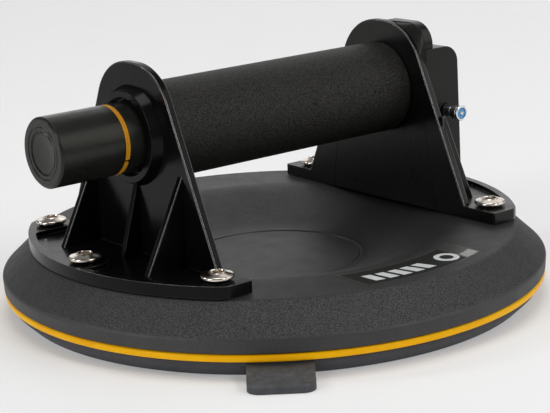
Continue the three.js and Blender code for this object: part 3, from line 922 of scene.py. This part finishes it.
def housing_solid():
    inside = VALVE_EAR_INNER + HOUSING_START
    outline = rounded(
        [
            (inside, BASE_BOTTOM + 1),
            (HOUSING_END, BASE_BOTTOM + 1),
            (HOUSING_END_TOP, HOUSING_TOP, HOUSING_CORNER),
            (inside, HOUSING_TOP),
        ],
        12,
    )
    return soften(prism("housing", outline, HOUSING_FACE, HOUSING_REAR, "XZ"), 0.45, 4, 35)


def top_block():
    low = VALVE_EAR_INNER + HOUSING_START
    return soften(prism("block", block_outline(), low, BLOCK_END, "YZ"), 0.5, 4, 35)


def block_outline():
    return rounded(
        [
            (BLOCK_FRONT, HOUSING_TOP - 2),
            (BLOCK_REAR, HOUSING_TOP - 2),
            (BLOCK_REAR, BLOCK_TOP, BLOCK_CORNER),
            (BLOCK_FRONT, BLOCK_TOP, BLOCK_CORNER),
        ],
        14,
    )


def housing_shoulder():
    """The slope from the ear's front edge out to the housing and the block, which stand proud of it."""
    foot = 77.5
    edge = VALVE_EAR_INNER + 1.7
    ear = [(edge, y, z) for y, z in ear_outline() if y <= 0 and z >= foot]
    block = [(VALVE_EAR_INNER + HOUSING_START, y, z) for y, z in block_outline() if y <= 0]
    housing = [(VALVE_EAR_INNER + HOUSING_START, HOUSING_FACE + 0.2, z) for z in (foot, HOUSING_TOP - 0.2)]
    inner = [(x, 0, foot) for x in (edge, VALVE_EAR_INNER + HOUSING_START)]
    bm = bmesh.new()
    for corner in ear + block + housing + inner:
        bm.verts.new(corner)
    bmesh.ops.convex_hull(bm, input=bm.verts)
    unused = [v for v in bm.verts if not v.link_faces]
    bmesh.ops.delete(bm, geom=unused, context="VERTS")
    return to_object("shoulder", bm)


def valve_boss():
    """A low round seat for the valve's stem, as proud as the CAD model's front face."""
    profile = rounded([(0, -3), (2.9, -3), (2.9, -0.1, 0.35), (0, -0.1)], 4)
    return lathe("valve_boss", profile, 64, along_minus_y)


def cover_outline(clearance):
    """The channel cover from inside: tapered, with rounded upper corners."""
    top = 68.3 + clearance
    half = 21.8 + clearance
    foot = 29.6 + clearance
    return rounded(
        [
            (-foot, BASE_BOTTOM - clearance),
            (foot, BASE_BOTTOM - clearance),
            (half, top, 4),
            (-half, top, 4),
        ],
        10,
    )


def cover_solid(name, clearance):
    low = VALVE_EAR_INNER - (1 if clearance else 0)
    sheet = prism(name, cover_outline(clearance), low, VALVE_EAR_INNER + 1.6 + clearance, "YZ")
    seat_radius = GRIP_RADIUS + 0.5 - clearance
    return cut(sheet, lathe("seat", [(0, 50), (seat_radius, 50), (seat_radius, 60), (0, 60)], 128, along_x))


def build_valve_bracket():
    made = bracket_frame("valve_side_bracket", VALVE_EAR_INNER, VALVE_RIBS)
    joined(made, housing_solid(), top_block(), housing_shoulder(), valve_boss())
    ear = VALVE_EAR_INNER + EAR_THICKNESS
    chamber = box_solid("chamber", (ear, -18, 31), (72.2, 12.6, 80.5))
    window = box_solid("window", (50, -17, 31), (ear + 1, 11.6, 46))
    spigot = lathe("spigot", [(0, 50), (5.6, 50), (5.6, 62), (0, 62)], 64, along_x)
    bore = [(0, -7), (2.6, -7), (2.6, -2.5), (2.05, -2.5), (2.05, 3), (0, 3)]
    valve_hole = lathe("valve_hole", bore, 48, along_minus_y)
    cut(made, chamber, window, spigot, cover_solid("cover_seat", 0.12), valve_hole)
    cut(made, airway_hole(3.4, 0, 32), *bolt_holes("valve"))
    smooth(made, 28)
    look, edges = LOOKS["housing_plastic"], LOOKS["worn_and_highlit_edge"]
    fitted(made, "root", "bracket_plastic", look, "valve_bracket", edges=edges)
    cover = soften(cover_solid("air_channel_cover", 0), 0.12, 2, 40)
    proud = VALVE_EAR_INNER - 0.06
    spot = lathe("ejector_spot", [(0, proud), (2.2, proud), (2.2, 56.5), (0, 56.5)], 48, along_x)
    moved(spot, Matrix.Translation(Vector((0, 1, 40.5 - AXIS_Z)) * MM))
    joined(cover, spot)
    smooth(cover, 40)
    return fitted(cover, "root", "bracket_plastic", LOOKS["housing_plastic"], "channel_cover")


# -------------------- bolts and nuts

def build_bolt(bracket, place, turn):
    """A button-head bolt with a hexagon socket, and threads round its shank."""
    node = f"{bracket}_bolt_{place}"
    low, high = span(node)
    centre = (low + high) / 2
    neck = BASE_TOP + 0.15
    pitch = 1.0
    thread = []
    z = low.z + 0.8
    while z < neck - 2.2:
        thread += [(2.7, z), (2.4, z + pitch / 2)]
        z += pitch
    head = rounded(
        [
            (0, low.z),
            (2.0, low.z),
            *thread,
            (2.7, neck - 1.6),
            (2.7, neck),
            (BOLT_HEAD_RADIUS - 1.1, neck, 0.1),
            (BOLT_HEAD_RADIUS - 0.9, neck + 0.4),
            (BOLT_HEAD_RADIUS, neck + 0.75, 0.3),
            (BOLT_HEAD_RADIUS, neck + 1.8, 0.65),
            (3.1, neck + 2.55, 0.25),
            (2.85, neck + 2.8, 0.08),
            (2.5, neck + 2.8, 0.08),
            (2.3, neck + 2.45, 0.08),
            (0, neck + 2.45),
        ],
        6,
        closed=False,
    )
    bolt = lathe(f"{bracket}_screw_{place}", head, 96)
    socket = prism("socket", hexagon(4.0, turn), neck + 0.9, high.z + 1)
    cut(bolt, socket)
    moved(bolt, Matrix.Translation(Vector((centre.x, centre.y, 0)) * MM))
    smooth(bolt, 38)
    return fitted(bolt, "root", "nickel", LOOKS["nickel"], node)


def build_nut(bracket, place):
    node = f"{bracket}_nut_{place}"
    low, high = span(node)
    centre = (low + high) / 2
    body = prism(f"{bracket}_hexnut_{place}", hexagon(9), low.z, high.z)
    corner = 9 / 2 / math.cos(math.pi / 6)
    chamfer = lathe(
        "chamfer",
        [
            (0, low.z),
            (4.5, low.z),
            (corner + 0.05, low.z + 0.4),
            (corner + 0.05, high.z - 0.4),
            (4.5, high.z),
            (0, high.z),
        ],
        64,
    )
    combine(body, "INTERSECT", chamfer)
    cut(body, prism("thread_hole", circle(3.0, 48), low.z - 1, high.z + 1))
    moved(body, Matrix.Translation(Vector((centre.x, centre.y, 0)) * MM))
    smooth(body, 30)
    return fitted(body, "root", "steel", LOOKS["steel"], node)


def build_fasteners():
    turns = {"front": 0.2, "middle": 0.75, "rear": 0.45}
    for bracket in ("pump", "valve"):
        for place, turn in turns.items():
            build_bolt(bracket, place, turn)
            build_nut(bracket, place)


# -------------------- grip and pump

def turned(name, node, points, body, slot, look, segments=96, steps=5, closed=True):
    """A piece turned about the pump's axis in place of a CAD node."""
    made = lathe(name, rounded(points, steps, closed=closed), segments, along_x)
    smooth(made, 40)
    return fitted(made, body, slot, LOOKS[look], node)


def build_grip():
    low, high = GRIP_LOW.x, GRIP_HIGH.x
    points = [
        (15.2, low),
        (GRIP_RADIUS, low, 0.35),
        (GRIP_RADIUS, high, 0.35),
        (15.2, high),
    ]
    return turned("grip", "grip_sleeve", points, "root", "grip_plastic", "grip_plastic", 160)


def build_pump_tubes():
    """The barrel in the grip, and the bush that guides the plunger through the collar."""
    low, high = BARREL_LOW.x, BARREL_HIGH.x
    points = [(13.6, low, 0.25), (14.9, low, 0.15), (14.9, high, 0.15), (13.6, high, 0.25)]
    turned("pump_cylinder", "pump_barrel", points, "root", "white_plastic", "white_plastic", 128)
    low, high = BUSH_LOW.x, BUSH_HIGH.x
    points = [(12.35, low, 0.5), (14.7, low, 0.2), (14.7, high), (12.35, high, 0.5)]
    turned("plunger_bush", "guide_bush", points, "root", "plunger_plastic", "plunger_plastic", 128)


def coil(name, radius, wire, low, high, turns, place, steps=40, sides=12):
    """A spring of round wire, wound close for one turn at each end."""
    bm = bmesh.new()
    count = turns * steps
    loops = []
    for k in range(count + 1):
        share = k / count
        closed = 1 / turns
        run = min(max((share - closed) / (1 - 2 * closed), 0), 1)
        ends = min(share / closed, 1) + max((share - 1 + closed) / closed, 0)
        height = low + wire + 2 * wire * ends + (high - low - 6 * wire) * run
        angle = 2 * math.pi * turns * share
        ring = []
        for j in range(sides):
            around = 2 * math.pi * j / sides
            out = radius + wire * math.cos(around)
            ring.append(
                bm.verts.new(
                    place(out * math.cos(angle), out * math.sin(angle), height + wire * math.sin(around))
                )
            )
        loops.append(ring)
    for first, second in zip(loops, loops[1:]):
        for j in range(sides):
            after = (j + 1) % sides
            bm.faces.new((first[j], first[after], second[after], second[j]))
    bm.faces.new(loops[0])
    bm.faces.new(loops[-1])
    return smooth(to_object(name, bm), 50, weighted=False)


def build_springs():
    """The plunger's return spring and the release valve's closing spring, each a coil of round wire."""
    made = coil("plunger_coil", 8.9, 0.45, SPRING_LOW.x, SPRING_HIGH.x, 10, along_x)
    fitted(made, "root", "steel", LOOKS["steel"], "return_spring")
    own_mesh(made)
    low = HOUSING_FRONT - CLOSER_HIGH.y
    high = HOUSING_FRONT - CLOSER_LOW.y
    made = coil("release_coil", 1.2, 0.16, low, high, 6, along_minus_y, 32, 8)
    fitted(made, "root", "steel", LOOKS["steel"], "release_spring")
    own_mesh(made)


def build_plunger():
    end = PLUNGER_LOW.x
    flange = PLUNGER_HIGH.x
    radius = PLUNGER_RADIUS
    seat = 11.0
    points = [
        (0, end + 0.85),
        (3.4, end + 0.7, 3),
        (6.7, end + 0.4, 0.3),
        (7.0, end + 0.62, 0.12),
        (7.4, end + 0.62, 0.12),
        (7.7, end + 0.12, 0.2),
        (8.5, end + 0.12, 0.2),
        (8.75, end + 0.32, 0.12),
        (9.05, end + 0.32, 0.12),
        (9.3, end, 0.2),
        (radius - 0.7, end, 0.35),
        (radius, end + 0.7, 0.35),
        (radius, BAND_LOW.x - 0.1, 0.08),
        (seat, BAND_LOW.x - 0.1),
        (seat, BAND_HIGH.x + 0.1),
        (radius, BAND_HIGH.x + 0.1, 0.08),
        (radius, -56.0),
        (13.2, -56.0, 0.2),
        (13.2, -53.4, 0.2),
        (radius, -53.4),
        (radius, flange),
        (9.8, flange),
        (9.8, end + 4.2),
        (0, end + 4.2),
    ]
    slot = "plunger_plastic"
    return turned("thumb_plunger", "plunger", points, "plunger_unit", slot, slot, 128, closed=False)


def build_band():
    low, high = BAND_LOW.x, BAND_HIGH.x
    points = [(11.2, low), (BAND_RADIUS, low, 0.15)]
    for groove in (0.36, 0.66):
        middle = low + (high - low) * groove
        points += [(BAND_RADIUS, middle - 0.11), (BAND_RADIUS - 0.16, middle), (BAND_RADIUS, middle + 0.11)]
    points += [(BAND_RADIUS, high, 0.15), (11.2, high)]
    band = lathe("amber_band", rounded(points, 4), 128, along_x)
    # The band is a split ring: its break is low on the front.
    half = BAND_BREAK_WIDTH / 2
    split = box_solid("split", (low - 1, -half, 0), (high + 1, half, 20))
    angle = math.radians(BAND_BREAK_ANGLE)
    place = Matrix.Translation(Vector((0, 0, AXIS_Z)) * MM) @ Matrix.Rotation(angle, 4, "X")
    moved(split, place)
    cut(band, split)
    smooth(band, 40)
    return fitted(band, "plunger_unit", "amber_plastic", LOOKS["amber_band"], "indicator_band")


# -------------------- release valve

def build_release_valve():
    end = 7.2
    profile = [
        (1.0, -6),
        (2.3, -6),
        (2.3, -2.6),
        (1.95, -2.6),
        (1.95, 2.0, 0.35),
        (1.6, 2.4),
        (2.5, 2.9, 0.3),
        (2.5, 5.7, 0.25),
        (2.25, 6.0),
        (2.9, 6.3, 0.25),
        (2.9, end, 0.4),
        (2.1, end, 0.15),
        (2.1, 4.2),
        (1.75, 4.2),
        (1.75, -2),
        (1.0, -2),
    ]
    stem = smooth(lathe("release_stem", rounded(profile, 4), 64, along_minus_y), 38)
    fitted(stem, "root", "nickel", LOOKS["valve_nickel"], "release_valve_body")
    profile = [(0.95, 4.3), (1.95, 4.3), (1.95, end - 0.3, 0.12), (0.95, end - 0.3, 0.12)]
    insert = smooth(lathe("release_insert", rounded(profile, 3), 48, along_minus_y), 38)
    fitted(insert, "root", "blue_plastic", LOOKS["blue_plastic"], "release_valve_insert")
    profile = [
        (0, -7.5),
        (1.9, -7.5, 0.1),
        (1.9, -6.3, 0.1),
        (0.6, -6.3),
        (0.6, 3.3),
        (1.45, 3.3),
        (1.45, 4.0),
        (0.7, 4.0),
        (0.7, end + 0.2, 0.2),
        (0, end + 0.2),
    ]
    pin = lathe("release_plunger_pin", rounded(profile, 3, closed=False), 40, along_minus_y)
    smooth(pin, 38)
    fitted(pin, "release_button", "nickel", LOOKS["pin_plastic"], "release_pin")


# -------------------- inner CAD pieces

INNER_LOOKS = {
    "air_nipple": "steel",
    "airway_oring": "seal_rubber",
    "intake_screen": "steel",
    "piston_head": "white_plastic",
    "piston_seal": "seal_rubber",
    "exhaust_valve_disc": "seal_rubber",
    "exhaust_valve_cage": "white_plastic",
    "barrel_plug": "white_plastic",
    "plug_oring": "seal_rubber",
    "inlet_valve_disc": "seal_rubber",
    "inlet_valve_cage": "white_plastic",
}


def finish_inner_pieces():
    for node, look in INNER_LOOKS.items():
        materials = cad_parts[node].data.materials
        materials.clear()
        materials.append(LOOKS[look])


# -------------------- camera, floor and light

CAMERA_AZIMUTH = -38.41
CAMERA_ELEVATION = 14.61
CAMERA_ROLL = -2.44
CAMERA_DISTANCE = 649.9
CAMERA_ASIDE = -0.19
CAMERA_LIFT = 30.48
CAMERA_LENS = 113.8

FLOOR_RADIUS = 3000
FLOOR_GLOW = 0.18
WORLD_STRENGTH = 0.2
LIGHT_DISTANCE = 1.7  # metres
# Azimuth and elevation in degrees, size in metres, power in watts.
LIGHTS = {
    "overhead": (0, 90, 0.8, 7.0),
    "front_right": (8, 33, 0.4, 6.0),
    "right": (50, 29, 1.3, 7.0),
    "left_low": (270, 9, 0.4, 4.0),
    "left_high": (276, 29, 0.5, 4.0),
    "back_left": (226, 30, 0.3, 3.5),
    "back": (144, 12, 1.4, 5.1),
    "back_high": (125, 38, 0.8, 1.5),
}


def outward(azimuth, elevation):
    """The direction away from the object. Azimuth is 0 at -Y and 90 at +X, in degrees."""
    turn = math.radians(azimuth)
    lift = math.radians(elevation)
    return Vector((math.sin(turn) * math.cos(lift), -math.cos(turn) * math.cos(lift), math.sin(lift)))


def build_camera():
    azimuth = math.radians(CAMERA_AZIMUTH)
    roll = math.radians(CAMERA_ROLL)
    back = outward(CAMERA_AZIMUTH, CAMERA_ELEVATION)
    level = Vector((math.cos(azimuth), math.sin(azimuth), 0))
    upright = back.cross(level)
    right = level * math.cos(roll) + upright * math.sin(roll)
    up = upright * math.cos(roll) - level * math.sin(roll)
    data = bpy.data.cameras.new("camera")
    data.lens = CAMERA_LENS
    data.sensor_width = 36
    data.clip_start = 0.05
    data.clip_end = 20
    camera = bpy.data.objects.new("camera", data)
    bpy.context.scene.collection.objects.link(camera)
    place = (back * CAMERA_DISTANCE + right * CAMERA_ASIDE + up * CAMERA_LIFT) * MM
    turn = Matrix((right, up, back)).transposed().to_4x4()
    camera.matrix_world = Matrix.Translation(place) @ turn
    bpy.context.scene.camera = camera


def soft_light(name, azimuth, elevation, size, power):
    """A square softbox that faces the object."""
    out = outward(azimuth, elevation)
    data = bpy.data.lights.new(name, "AREA")
    data.shape = "SQUARE"
    data.size = size
    data.energy = power
    light = bpy.data.objects.new(name, data)
    bpy.context.scene.collection.objects.link(light)
    light.location = out * LIGHT_DISTANCE + Vector((0, 0, 0.04))
    light.rotation_euler = out.to_track_quat("Z", "Y").to_euler()


def build_studio():
    floor = prism("floor", circle(FLOOR_RADIUS, 64), -40, -0.05)
    look, tree, shader = new_material("floor")
    grain = noise(tree, object_place(tree), 30, 3)
    feed(shader, "Base Color", mix_colour(tree, grain, (0.80, 0.80, 0.80), (0.84, 0.84, 0.84)))
    feed(shader, "Roughness", 0.9)
    feed(shader, "Specular IOR Level", 0.0)
    # A light table: the floor glows a little, as under a product on white.
    feed(shader, "Emission Color", (1, 1, 1, 1))
    feed(shader, "Emission Strength", FLOOR_GLOW)
    coloured(floor, look)
    scene = bpy.context.scene
    scene.view_settings.view_transform = "Standard"
    world = bpy.data.worlds.new("world")
    scene.world = world
    world.use_nodes = True
    background = world.node_tree.nodes["Background"]
    feed(background, "Color", (1, 1, 1, 1))
    feed(background, "Strength", WORLD_STRENGTH)
    for name, (azimuth, elevation, size, power) in LIGHTS.items():
        soft_light(name, azimuth, elevation, size, power)


build_camera()
build_disc()
build_ring()
build_pad()
build_label()
build_pump_bracket()
build_valve_bracket()
build_fasteners()
build_grip()
build_plunger()
build_band()
build_release_valve()
build_pump_tubes()
build_springs()
finish_inner_pieces()
build_studio()
